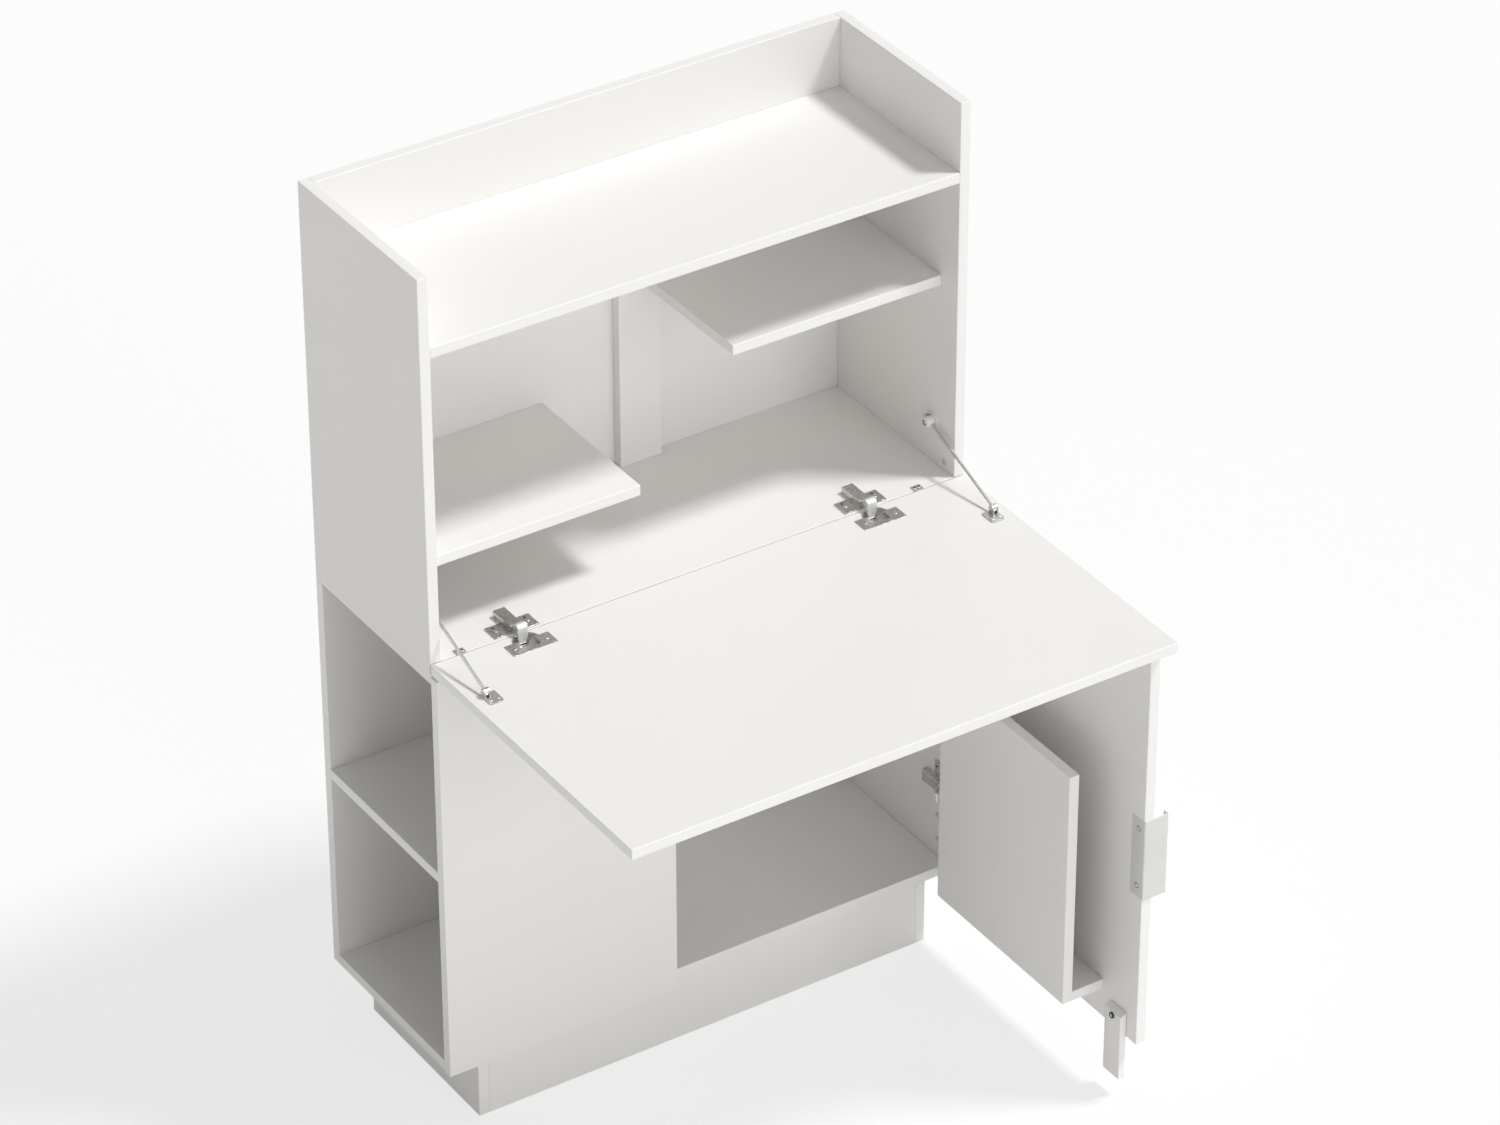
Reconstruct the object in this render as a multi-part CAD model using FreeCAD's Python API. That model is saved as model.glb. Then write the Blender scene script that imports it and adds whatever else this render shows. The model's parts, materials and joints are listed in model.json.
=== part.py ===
import FreeCAD
import Part
import math
import os

# White drop-front desk: a shallow hutch whose front folds down into a desktop, side cubbies at the
# lower left, and at the lower right a door that opens under the desktop and carries a paper pocket.
# Millimetres. X runs to the right, Y to the back, Z up. The origin is on the floor, under the middle
# of the plinth's front board. The desk is drawn open: desktop down, door square to the front.

Vec = FreeCAD.Vector
AXIS_X = Vec(1, 0, 0)
AXIS_Y = Vec(0, 1, 0)
AXIS_Z = Vec(0, 0, 1)

# Case
width = 800.0
height = 1278.0
case_depth = 285.0
board = 15.0
desk_height = 728.0
gallery_height = 99.0

# Plinth
plinth_height = 98.0
plinth_inset = 50.0
plinth_setback = 12.0

# Hutch shelves and the batten on its back
shelf_length = 316.0
shelf_setback = 36.0
left_shelf_rise = 127.5
right_shelf_rise = 285.5
batten_width = 63.0
batten_centre = 69.5

# Lower fronts and cubbies
lower_cubby_height = 283.0
front_panel_width = 346.5
panel_gap = 3.5
front_drop = 3.0
flap_clearance = 0.5
door_overlap = 7.0

# Folding desktop; the seam gap also stands between a closed front and the case
flap_depth = 465.0
seam_gap = 1.0
swing_clearance = 0.4

# Cup hinges of the desktop and the door
flap_hinge_left_inset = 112.5
flap_hinge_right_inset = 135.0
door_hinge_inset = 141.0
cup_radius = 17.5
cup_edge = 2.5
cup_skin = 3.0
cup_wall = 0.8
rim_width = 1.5
flange_thickness = 1.0
flange_length = 64.0
flange_start = 9.0
flange_end = 34.0
mouth_width = 24.0
mouth_clearance = 1.0
hinge_pin_radius = 1.5
eye_wall = 1.3
eye_width = 10.0
ear_thickness = 2.2
stem_height = 5.0
bridge_width = 13.5
bridge_thickness = 3.0
bridge_rise = 17.0
bridge_flat = 8.0
bridge_round = 5.0
arm_width = 17.0
arm_height = 9.0
arm_start = 14.0
arm_length = 42.0
arm_round = 2.0
plate_thickness = 2.0
plate_wing = 27.0
plate_start = 11.0
hinge_screw_pitch = 46.0

# Stays of the desktop
stay_offset = 6.3
stay_back = 48.0
stay_rise = 63.0
stay_pin_height = 8.0
stay_pin_radius = 1.5
rod_radius = 2.0
rod_clearance = 0.2
rod_eye_radius = 4.5
rod_eye_thickness = 4.0
stop_radius = 3.5
stop_length = 4.0
boss_radius = 11.0
boss_thickness = 2.4
swivel_radius = 7.0
swivel_length = 12.0
swivel_recess = 2.0
journal_radius = 4.0
journal_depth = 9.0
bracket_reach = 15.0
bracket_margin = 0.5
bracket_tail = 20.0
bracket_thickness = 2.0
bracket_round = 4.0
lug_radius = 5.0
lug_thickness = 2.0
bracket_screw_pitch = 11.0

# Paper pocket on the door's inner face
pocket_gap = 49.5
pocket_setback = 74.5
pocket_width = 286.0
pocket_height = 359.0
pocket_rise = 45.0

# Swinging foot block on the door
foot_thickness = 10.0
foot_width = 34.5
foot_head = 10.0
foot_reach = 95.5
foot_bevel = 5.0
foot_setback = 38.5
foot_clearance = 1.0
foot_bolt_radius = 3.0
foot_bolt_head = 4.5
foot_bolt_head_height = 2.5

# Folded-sheet pull round the door's free edge
pull_length = 123.0
pull_rise = 232.0
pull_flange = 26.0
pull_reach = 22.0
pull_lip = 8.0
pull_sheet = 1.5
pull_screw_inset = 12.0
pull_screw_pitch = 89.0

# Small plates at the seam, and plugs in the spare holes of the sides
seam_plate_left_inset = 30.0
seam_plate_right_inset = 55.0
seam_plate_length = 14.0
seam_plate_width = 10.0
seam_plate_thickness = 1.2
seam_screw_pitch = 7.0
plug_radius = 4.5
plug_head = 1.0
plug_stem_radius = 2.5
plug_stem = 8.0
plug_setback = 23.0
plug_desk_rise = 11.5
plug_rise = 28.0
plug_pitch = 39.5

# Fasteners
fit = 0.05
face_gap = 0.3
socket_radius = 1.1
socket_depth = 0.7
dowel_radius = 4.0
dowel_skin = 5.0
dowel_reach = 20.0
cam_radius = 7.5
cam_setback = 24.0
cam_skin = 2.5
cam_bolt_radius = 3.0
cam_bolt_skin = 4.0
small_screw_radius = 1.6
small_screw_head = 3.4
small_screw_head_height = 0.9
small_screw_length = 9.0
board_screw_radius = 2.2
board_screw_head = 4.4
board_screw_head_height = 1.2
board_screw_reach = 10.0
fixing_inset = 45.0

# Planes and levels that follow from those sizes
half = board / 2
front = -half
back = front + case_depth
back_face = back - board
left = -width / 2
right = width / 2
inner_left = left + board
inner_right = right - board
bottom_top = plinth_height + board
desk_under = desk_height - board
cubby_ceiling = desk_under - board
gallery_floor = height - gallery_height
hutch_ceiling = gallery_floor - board
front_bottom = plinth_height - front_drop
panel_right = left + front_panel_width
door_free = panel_right + panel_gap
divider_centre = (panel_right + door_free) / 2
fixing_rows = (front + fixing_inset, back - fixing_inset)
fixing_middle = (front + back_face) / 2

# Pins lie half a board deep and half a board from the edge, so both fronts close flush
flap_pin_y = front - seam_gap - half
flap_pin_z = desk_height - half
door_pin_x = inner_right + door_overlap - half
door_pin_y = flap_pin_y
swing_radius = half * math.sqrt(2) + swing_clearance
front_top = flap_pin_z - swing_radius - flap_clearance
door_inner = door_pin_x - half
door_outer = door_pin_x + half
door_back = front - seam_gap
door_front = door_back - (inner_right + door_overlap - door_free)

nodes = {}
pockets = {}


def box(x0, x1, y0, y1, z0, z1):
    return Part.makeBox(x1 - x0, y1 - y0, z1 - z0, Vec(x0, y0, z0))


def bar(start, direction, radius, length):
    return Part.makeCylinder(radius, length, start, direction)


def edges_along_z(solid, x, y):
    """The edges of a solid that run along Z through a corner of its outline."""
    found = []
    for edge in solid.Edges:
        ends = [vertex.Point for vertex in edge.Vertexes]
        if all(math.hypot(end.x - x, end.y - y) < fit for end in ends):
            found.append(edge)
    return found


def add(name, *solids):
    nodes.setdefault(name, []).extend(solids)


def pocket(name, *tools):
    pockets.setdefault(name, []).extend(tools)


def screw(group, at, into, radius, length, head, head_height, through):
    """A socket-headed screw seated at a point, and its hole in each piece that it passes."""
    shank = bar(at, into, radius, length)
    top = bar(at - into * head_height, into, head, head_height)
    socket = bar(at - into * head_height, into, socket_radius, socket_depth)
    add(group, shank.fuse(top).cut(socket))
    for name in through:
        pocket(name, bar(at - into * fit, into, radius + fit, length + 2 * fit))


def small_screw(group, at, into, through):
    screw(group, at, into, small_screw_radius, small_screw_length, small_screw_head,
          small_screw_head_height, through)


def board_screw(group, at, into, through):
    """A long screw whose head is let in flush with the first board's face."""
    seat = at + into * board_screw_head_height
    screw(group, seat, into, board_screw_radius, board + board_screw_reach, board_screw_head,
          board_screw_head_height, through)
    pocket(through[0], bar(at, into, board_screw_head + fit, board_screw_head_height))


def dowel(group, at, into, face_piece, edge_piece):
    """A dowel across a butt joint: into the edge of one board, and into the face of the other."""
    face_depth = board - dowel_skin
    length = face_depth + dowel_reach
    add(group, bar(at - into * face_depth, into, dowel_radius, length))
    hole = bar(at - into * (face_depth + fit), into, dowel_radius + fit, length + 2 * fit)
    pocket(face_piece, hole)
    pocket(edge_piece, hole)


def cam_joint(at, into, face_piece, edge_piece):
    """A cam housing under a board's end, drawing on a bolt that is screwed into an upright."""
    grip = board - cam_bolt_skin
    tip = cam_bolt_radius
    length = grip + cam_setback + tip
    start = at - into * grip
    centre = at + into * cam_setback - AXIS_Z * half
    depth = board - cam_skin
    hole = bar(start - into * fit, into, cam_bolt_radius + fit, length + 2 * fit)
    add("cam_bolts", bar(start, into, cam_bolt_radius, length))
    add("cam_housings", bar(centre, AXIS_Z, cam_radius, depth).cut(hole))
    pocket(edge_piece, bar(centre, AXIS_Z, cam_radius + fit, depth + fit), hole)
    pocket(face_piece, hole)


def make_sides():
    add("left_side", box(left, inner_left, front, back, cubby_ceiling, height))
    add("right_side", box(inner_right, right, front, back, plinth_height, height))


def make_levels():
    """The four full-width levels, with dowels and cams into the sides."""
    add("bottom_board", box(left, inner_right, front, back_face, plinth_height, bottom_top))
    add("cubby_ceiling", box(inner_left, inner_right, front, back, cubby_ceiling, desk_under))
    add("desk_board", box(inner_left, inner_right, front, back, desk_under, desk_height))
    add("top_shelf", box(inner_left, inner_right, front, back, hutch_ceiling, gallery_floor))
    ends = ((inner_left, AXIS_X, "left_side"), (inner_right, -AXIS_X, "right_side"))
    for name, low in (("cubby_ceiling", cubby_ceiling), ("top_shelf", hutch_ceiling)):
        for x, into, side in ends:
            for y in fixing_rows:
                cam_joint(Vec(x, y, low + half), into, side, name)
            dowel("case_dowels", Vec(x, fixing_middle, low + half), into, side, name)
    for x, into, side in ends:
        for y in fixing_rows:
            dowel("case_dowels", Vec(x, y, desk_under + half), into, side, "desk_board")
    for y in fixing_rows:
        cam_joint(Vec(inner_right, y, plinth_height + half), -AXIS_X, "right_side", "bottom_board")
    for x in (inner_left + fixing_inset, divider_centre + fixing_inset, inner_right - fixing_inset):
        for y in fixing_rows:
            board_screw("desk_screws", Vec(x, y, cubby_ceiling), AXIS_Z, ("cubby_ceiling", "desk_board"))


def make_backs():
    """The lower back behind the cubbies, the hutch's back, and the rail round the gallery."""
    middle = back - half
    add("lower_back", box(left, inner_right, back_face, back, plinth_height, cubby_ceiling))
    add("hutch_back", box(inner_left, inner_right, back_face, back, desk_height, hutch_ceiling))
    add("gallery_rail", box(inner_left, inner_right, back_face, back, gallery_floor, height))
    for x in (inner_left + fixing_inset, inner_right - fixing_inset):
        dowel("case_dowels", Vec(x, back_face, plinth_height + half), -AXIS_Y, "lower_back", "bottom_board")
        dowel("case_dowels", Vec(x, middle, cubby_ceiling), -AXIS_Z, "cubby_ceiling", "lower_back")
        dowel("case_dowels", Vec(x, middle, desk_height), AXIS_Z, "desk_board", "hutch_back")
        dowel("case_dowels", Vec(x, middle, hutch_ceiling), -AXIS_Z, "top_shelf", "hutch_back")
        dowel("case_dowels", Vec(x, middle, gallery_floor), AXIS_Z, "top_shelf", "gallery_rail")
    for z in (bottom_top + fixing_inset, cubby_ceiling - fixing_inset):
        dowel("case_dowels", Vec(inner_right, middle, z), -AXIS_X, "right_side", "lower_back")
    rail_middle = gallery_floor + gallery_height / 2
    dowel("case_dowels", Vec(inner_left, middle, rail_middle), AXIS_X, "left_side", "gallery_rail")
    dowel("case_dowels", Vec(inner_right, middle, rail_middle), -AXIS_X, "right_side", "gallery_rail")


def make_cubbies():
    """The divider, the cubby shelf and the fixed front panel that closes the cubbies' front."""
    shelf_under = bottom_top + lower_cubby_height
    shelf_middle = shelf_under + half
    divider_left = divider_centre - half
    add("divider", box(divider_left, divider_left + board, front, back_face, bottom_top, cubby_ceiling))
    add("cubby_shelf", box(left, divider_left, front, back_face, shelf_under, shelf_under + board))
    add("front_panel", box(left, panel_right, front - board, front, front_bottom, front_top))
    for y in fixing_rows:
        dowel("case_dowels", Vec(divider_centre, y, bottom_top), AXIS_Z, "bottom_board", "divider")
        dowel("case_dowels", Vec(divider_centre, y, cubby_ceiling), -AXIS_Z, "cubby_ceiling", "divider")
        dowel("case_dowels", Vec(divider_left, y, shelf_middle), -AXIS_X, "divider", "cubby_shelf")
    panel_middle = (left + divider_left) / 2
    dowel("case_dowels", Vec(panel_middle, back_face, shelf_middle), -AXIS_Y, "lower_back", "cubby_shelf")
    levels = (("bottom_board", plinth_height + half), ("cubby_shelf", shelf_middle),
              ("cubby_ceiling", cubby_ceiling + dowel_radius + fit))
    for name, z in levels:
        for x in (inner_left + fixing_inset, divider_left - fixing_inset):
            dowel("case_dowels", Vec(x, front, z), AXIS_Y, "front_panel", name)


def make_hutch_shelves():
    """Two half-length shelves, each held by one side and the back, and the batten between them."""
    shelf_front = front + shelf_setback
    batten_left = batten_centre - batten_width / 2
    batten_right = batten_left + batten_width
    batten = box(batten_left, batten_right, back_face - board, back_face, desk_height, hutch_ceiling)
    add("back_batten", batten)
    for z in (desk_height + fixing_inset, hutch_ceiling - fixing_inset):
        board_screw("back_screws", Vec(batten_centre, back, z), -AXIS_Y, ("hutch_back", "back_batten"))
    shelves = (("left_shelf", inner_left, AXIS_X, "left_side", left_shelf_rise),
               ("right_shelf", inner_right, -AXIS_X, "right_side", right_shelf_rise))
    for name, x, into, side, rise in shelves:
        top = desk_height + rise
        middle = top - half
        end = x + into.x * shelf_length
        add(name, box(min(x, end), max(x, end), shelf_front, back_face, top - board, top))
        for y in (shelf_front + fixing_inset, back_face - fixing_inset):
            dowel("case_dowels", Vec(x, y, middle), into, side, name)
        for run in (fixing_inset, shelf_length / 2):
            dowel("case_dowels", Vec(x + into.x * run, back_face, middle), -AXIS_Y, "hutch_back", name)
    pocket("right_shelf", batten)


def make_plinth():
    """Four boards on edge under the case, the front one between the ends of the side ones."""
    outer = width / 2 - plinth_inset
    inner = outer - board
    plinth_back = back - plinth_setback
    middle = plinth_height / 2
    add("plinth_left", box(-outer, -inner, front, plinth_back, 0, plinth_height))
    add("plinth_right", box(inner, outer, front, plinth_back, 0, plinth_height))
    rails = (("plinth_front", front), ("plinth_back", plinth_back - board))
    for name, y in rails:
        add(name, box(-inner, inner, y, y + board, 0, plinth_height))
        dowel("case_dowels", Vec(-inner, y + half, middle), AXIS_X, "plinth_left", name)
        dowel("case_dowels", Vec(inner, y + half, middle), -AXIS_X, "plinth_right", name)
    for x in (-inner + fixing_inset, inner - fixing_inset):
        dowel("case_dowels", Vec(x, front + half, plinth_height), -AXIS_Z, "bottom_board", "plinth_front")
    for x, name in ((-outer + half, "plinth_left"), (outer - half, "plinth_right")):
        dowel("case_dowels", Vec(x, fixing_middle, plinth_height), -AXIS_Z, "bottom_board", name)


def make_flap():
    """The folding desktop, and the hollow that its corner turns through in the pieces behind it."""
    flap_back = front - seam_gap
    add("desktop", box(left, right, flap_back - flap_depth, flap_back, desk_under, desk_height))
    sweep = bar(Vec(left - seam_gap, flap_pin_y, flap_pin_z), AXIS_X, swing_radius, width + 2 * seam_gap)
    for name in ("desk_board", "left_side", "right_side"):
        pocket(name, sweep)


def make_door():
    add("door", box(door_inner, door_outer, door_front, door_back, front_bottom, front_top))
    low = front_bottom - seam_gap
    sweep = bar(Vec(door_pin_x, door_pin_y, low), AXIS_Z, swing_radius, front_top + seam_gap - low)
    for name in ("right_side", "bottom_board", "cubby_ceiling"):
        pocket(name, sweep)


def hinge_placement(origin, out_of_cup):
    """Lays a hinge's own axes: first away from the board's edge, second out of its cup."""
    along = -AXIS_Y
    across = along.cross(out_of_cup)
    rows = [(along[i], out_of_cup[i], across[i], origin[i]) for i in range(3)]
    return FreeCAD.Placement(FreeCAD.Matrix(*rows[0], *rows[1], *rows[2], 0, 0, 0, 1))


def cup_hinge(prefix, origin, out_of_cup, seat, front_piece, case_piece):
    """One cup hinge about its pin: cup and pin in the front, plate and bridged arm on the case.

    It is drawn about the pin in the front's own axes: x away from the board's edge, y out of the
    cup, z along the pin. The seat is the height of the face that carries the arm. The arm's bridge
    rises over the seam and comes down to the pin, and the shut front takes it in at the cup's mouth."""
    place = hinge_placement(origin, out_of_cup)
    cup_centre = cup_edge + cup_radius - half
    cup_floor = half - (board - cup_skin)
    inside = cup_radius - cup_wall
    flange_top = half + flange_thickness
    eye_radius = hinge_pin_radius + eye_wall
    eye_half = eye_width / 2
    ear_start = eye_half + face_gap
    pin_half = ear_start + ear_thickness
    bridge_front = eye_radius
    bridge_back = bridge_front - bridge_thickness
    bridge_bend = bridge_front - bridge_flat
    bridge_top = flange_top + bridge_rise
    bridge_under = bridge_top - bridge_thickness
    arm_low = seat + plate_thickness
    arm_top = arm_low + arm_height
    arm_end = arm_start + arm_length
    arm_root = -arm_start - arm_round
    mouth_half = mouth_width / 2
    screw_half = hinge_screw_pitch / 2

    shell = bar(Vec(cup_centre, cup_floor, 0), AXIS_Y, cup_radius, half - cup_floor)
    rim = bar(Vec(cup_centre, half, 0), AXIS_Y, cup_radius + rim_width, flange_thickness)
    flange = box(flange_start, flange_end, half, flange_top, -flange_length / 2, flange_length / 2)
    hollow = bar(Vec(cup_centre, cup_floor + cup_wall, 0), AXIS_Y, inside, flange_top - cup_floor)
    mouth_end = bridge_top + mouth_clearance
    mouth = box(flange_start, mouth_end, half, flange_top, -mouth_half, mouth_half)
    cup = shell.fuse(rim).cut(hollow).fuse(flange.cut(mouth))
    for start in (-pin_half, ear_start):
        ear = box(-cup_radius, eye_radius, cup_floor, eye_radius, start, start + ear_thickness)
        cup = cup.fuse(ear.common(shell))
    pin_line = Vec(0, 0, -pin_half)
    cup = cup.cut(bar(pin_line, AXIS_Z, hinge_pin_radius + fit, 2 * pin_half))
    pin = bar(pin_line, AXIS_Z, hinge_pin_radius, 2 * pin_half)

    eye = bar(Vec(0, 0, -eye_half), AXIS_Z, eye_radius, eye_width)
    stem = box(bridge_back, bridge_front, 0, stem_height, -eye_half, eye_half)
    outline = [(bridge_back, stem_height), (bridge_front, stem_height), (bridge_front, bridge_top),
               (bridge_bend, bridge_top), (arm_root, arm_top), (arm_root, arm_top - bridge_thickness),
               (bridge_bend, bridge_under), (bridge_back, bridge_under)]
    points = [Vec(x, y, -bridge_width / 2) for x, y in outline]
    bridge = Part.Face(Part.makePolygon(points + points[:1])).extrude(AXIS_Z * bridge_width)
    bridge = bridge.makeFillet(bridge_round, edges_along_z(bridge, bridge_front, bridge_top))
    bridge = bridge.makeFillet(bridge_round - bridge_thickness,
                               edges_along_z(bridge, bridge_back, bridge_under))
    channel = box(-arm_end, -arm_start, arm_low, arm_top, -arm_width / 2, arm_width / 2)
    top_edges = [edge for edge in channel.Edges if edge.BoundBox.YMin > arm_top - arm_height / 2]
    channel = channel.makeFillet(arm_round, top_edges)
    arm = eye.fuse(stem).fuse(bridge).fuse(channel)
    arm = arm.cut(bar(pin_line, AXIS_Z, hinge_pin_radius + fit, 2 * pin_half))

    strip = box(-arm_end, -plate_start, seat, arm_low, -arm_width / 2, arm_width / 2)
    wing_end = -plate_start - plate_wing
    wing = box(wing_end, -plate_start, seat, arm_low, -flange_length / 2, flange_length / 2)
    plate = strip.fuse(wing).removeSplitter()

    cup_hole = bar(Vec(cup_centre, cup_floor - fit, 0), AXIS_Y, cup_radius + fit, board)
    parts = ((prefix + "_hinge_cups", cup), (prefix + "_hinge_pins", pin),
             (prefix + "_hinge_arms", arm), (prefix + "_hinge_plates", plate))
    for name, solid in parts:
        solid.Placement = place.multiply(solid.Placement)
        add(name, solid)
    cup_hole.Placement = place.multiply(cup_hole.Placement)
    pocket(front_piece, cup_hole)

    into = -out_of_cup
    flange_middle = (flange_start + flange_end) / 2
    wing_middle = (wing_end - plate_start) / 2
    for z in (-screw_half, screw_half):
        at = place.multVec(Vec(flange_middle, flange_top, z))
        small_screw(prefix + "_cup_screws", at, into, (prefix + "_hinge_cups", front_piece))
        at = place.multVec(Vec(wing_middle, arm_low, z))
        small_screw(prefix + "_plate_screws", at, into, (prefix + "_hinge_plates", case_piece))


def make_hinges():
    for x in (inner_left + flap_hinge_left_inset, inner_right - flap_hinge_right_inset):
        origin = Vec(x, flap_pin_y, flap_pin_z)
        cup_hinge("desktop", origin, AXIS_Z, half, "desktop", "desk_board")
    seat = door_pin_x - inner_right
    for z in (front_bottom + door_hinge_inset, front_top - door_hinge_inset):
        origin = Vec(door_pin_x, door_pin_y, z)
        cup_hinge("door", origin, -AXIS_X, seat, "door", "right_side")


def make_stay(side, wall, inward):
    """One stay: a rod pinned to the desktop slides through a swivel on the case's side.

    Pin and swivel are equally far from the desktop's axis, so the rod and the swivel each turn by
    half of the desktop's angle, and the rod always points through the swivel."""
    x = wall + inward.x * stay_offset
    swivel = Vec(x, front + stay_back, desk_height + stay_rise)
    axis = Vec(x, flap_pin_y, flap_pin_z)
    span = (swivel - axis).Length
    pin_z = desk_height + stay_pin_height
    pin = Vec(x, flap_pin_y - math.sqrt(span ** 2 - (pin_z - flap_pin_z) ** 2), pin_z)
    run = swivel - pin
    reach = run.Length
    along = run.normalize()

    head_start = wall + inward.x * (boss_thickness + face_gap)
    head_foot = Vec(head_start, swivel.y, swivel.z)
    wall_foot = Vec(wall, swivel.y, swivel.z)
    journal_length = boss_thickness + face_gap + journal_depth
    bore = bar(wall_foot - inward * (journal_depth + face_gap), inward, journal_radius + fit,
               journal_length + face_gap)
    add("stay_bosses", bar(wall_foot, inward, boss_radius, boss_thickness).cut(bore))
    pocket(side, bore)
    head = bar(head_foot, inward, swivel_radius, swivel_length)
    journal = bar(wall_foot - inward * journal_depth, inward, journal_radius, journal_length)
    recess_foot = head_foot + inward * (swivel_length - swivel_recess)
    recess = bar(recess_foot, inward, journal_radius, swivel_recess)
    slide = bar(swivel - along * boss_radius, along, rod_radius + rod_clearance, 2 * boss_radius)
    add("stay_swivel_" + side.split("_")[0], head.fuse(journal).cut(recess).cut(slide))

    stop_start = reach + swivel_radius + face_gap
    eye = bar(pin - inward * (rod_eye_thickness / 2), inward, rod_eye_radius, rod_eye_thickness)
    wire = bar(pin, along, rod_radius, stop_start)
    stop = bar(pin + along * stop_start, along, stop_radius, stop_length)
    pin_half = rod_eye_thickness / 2 + face_gap + lug_thickness
    pin_start = pin - inward * pin_half
    pin_hole = bar(pin_start, inward, stay_pin_radius + fit, 2 * pin_half)
    add("stay_rod_" + side.split("_")[0], eye.fuse(wire).fuse(stop).cut(pin_hole))
    add("stay_pins", bar(pin_start, inward, stay_pin_radius, 2 * pin_half))

    plate_top = desk_height + bracket_thickness
    sides = sorted((x - inward.x * (pin_half + bracket_margin), x + inward.x * bracket_reach))
    tail = pin.y - bracket_tail
    plate = box(sides[0], sides[1], tail, pin.y + lug_radius, desk_height, plate_top)
    corners = edges_along_z(plate, sides[0], tail) + edges_along_z(plate, sides[1], tail)
    plate = plate.makeFillet(bracket_round, corners)
    lug_starts = (pin_start, pin + inward * (rod_eye_thickness / 2 + face_gap))
    for start in lug_starts:
        ends = sorted((start.x, start.x + inward.x * lug_thickness))
        cheek = box(ends[0], ends[1], pin.y - lug_radius, pin.y + lug_radius, desk_height, pin.z)
        plate = plate.fuse(cheek).fuse(bar(start, inward, lug_radius, lug_thickness))
    slot = box(x - rod_eye_thickness / 2 - face_gap, x + rod_eye_thickness / 2 + face_gap,
               pin.y - lug_radius, pin.y + lug_radius, plate_top, pin.z + lug_radius)
    add("stay_brackets", plate.cut(slot).cut(pin_hole))
    tail_middle = pin.y - (lug_radius + bracket_tail) / 2
    for offset in (-bracket_screw_pitch / 2, bracket_screw_pitch / 2):
        at = Vec((sides[0] + sides[1]) / 2 + offset, tail_middle, plate_top)
        small_screw("stay_screws", at, -AXIS_Z, ("stay_brackets", "desktop"))


def make_pocket():
    """The panel and ledge that hold papers against the door's inner face."""
    panel_inner = door_inner - pocket_gap
    y0 = door_front + pocket_setback
    y1 = y0 + pocket_width
    z0 = front_bottom + pocket_rise
    add("pocket_panel", box(panel_inner - board, panel_inner, y0, y1, z0, z0 + pocket_height))
    add("pocket_ledge", box(panel_inner, door_inner, y0, y1, z0, z0 + board))
    for y in (y0 + fixing_inset, y1 - fixing_inset):
        at = Vec(panel_inner, y, z0 + half)
        dowel("pocket_dowels", at, AXIS_X, "pocket_panel", "pocket_ledge")
        at = Vec(door_inner, y, z0 + half)
        dowel("pocket_dowels", at, -AXIS_X, "door", "pocket_ledge")


def make_foot():
    """The foot block on its bolt. Turned up, its head still clears the bottom board."""
    y = door_front + foot_setback
    bolt_z = bottom_top + foot_clearance + foot_head
    x1 = door_inner - face_gap
    x0 = x1 - foot_thickness
    top = bolt_z + foot_head
    outline = [(x0, bolt_z - foot_reach), (x1, bolt_z - foot_reach), (x1, top), (x0, top - foot_bevel)]
    points = [Vec(px, y - foot_width / 2, pz) for px, pz in outline]
    block = Part.Face(Part.makePolygon(points + points[:1])).extrude(AXIS_Y * foot_width)
    bore = bar(Vec(x0, y, bolt_z), AXIS_X, foot_bolt_radius + fit, foot_thickness)
    add("foot_block", block.cut(bore))
    head_seat = Vec(x0 - face_gap, y, bolt_z)
    shank_length = door_inner + board - cam_bolt_skin - head_seat.x
    screw("foot_bolt", head_seat, AXIS_X, foot_bolt_radius, shank_length, foot_bolt_head,
          foot_bolt_head_height, ("door",))


def make_pull():
    """A folded sheet let in flush on the door's inner face, round its free edge and out past it."""
    z0 = front_bottom + pull_rise
    z1 = z0 + pull_length
    tip = door_outer + pull_reach
    flange = box(door_inner, door_inner + pull_sheet, door_front, door_front + pull_flange, z0, z1)
    web = box(door_inner, tip, door_front - pull_sheet, door_front, z0, z1)
    lip = box(tip - pull_sheet, tip, door_front, door_front + pull_lip, z0, z1)
    add("door_pull", flange.fuse(web).fuse(lip).removeSplitter())
    pocket("door", flange)
    middle = (z0 + z1) / 2
    for z in (middle - pull_screw_pitch / 2, middle + pull_screw_pitch / 2):
        at = Vec(door_inner, door_front + pull_screw_inset, z)
        small_screw("pull_screws", at, AXIS_X, ("door_pull", "door"))


def plug(at, into, piece):
    stem = bar(at, into, plug_stem_radius, plug_stem)
    cap = bar(at - into * plug_head, into, plug_radius, plug_head)
    socket = bar(at - into * plug_head, into, socket_radius, plug_head)
    add("hole_plugs", stem.fuse(cap).cut(socket))
    pocket(piece, bar(at, into, plug_stem_radius + fit, plug_stem + fit))


def make_trim():
    """The plates at the seam, and the plugs in the sides."""
    for x in (inner_left + seam_plate_left_inset, inner_right - seam_plate_right_inset):
        plate_top = desk_height + seam_plate_thickness
        plate = box(x - seam_plate_length / 2, x + seam_plate_length / 2, front, front + seam_plate_width,
                    desk_height, plate_top)
        add("seam_plates", plate)
        for offset in (-seam_screw_pitch / 2, seam_screw_pitch / 2):
            at = Vec(x + offset, front + seam_plate_width / 2, plate_top)
            small_screw("seam_screws", at, -AXIS_Z, ("seam_plates", "desk_board"))
    y = front + plug_setback
    plug(Vec(inner_left, y, desk_height + plug_desk_rise), -AXIS_X, "left_side")
    low = bottom_top + plug_rise
    for z in (desk_height + plug_desk_rise, low, low + plug_pitch):
        plug(Vec(inner_right, y, z), AXIS_X, "right_side")


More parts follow.
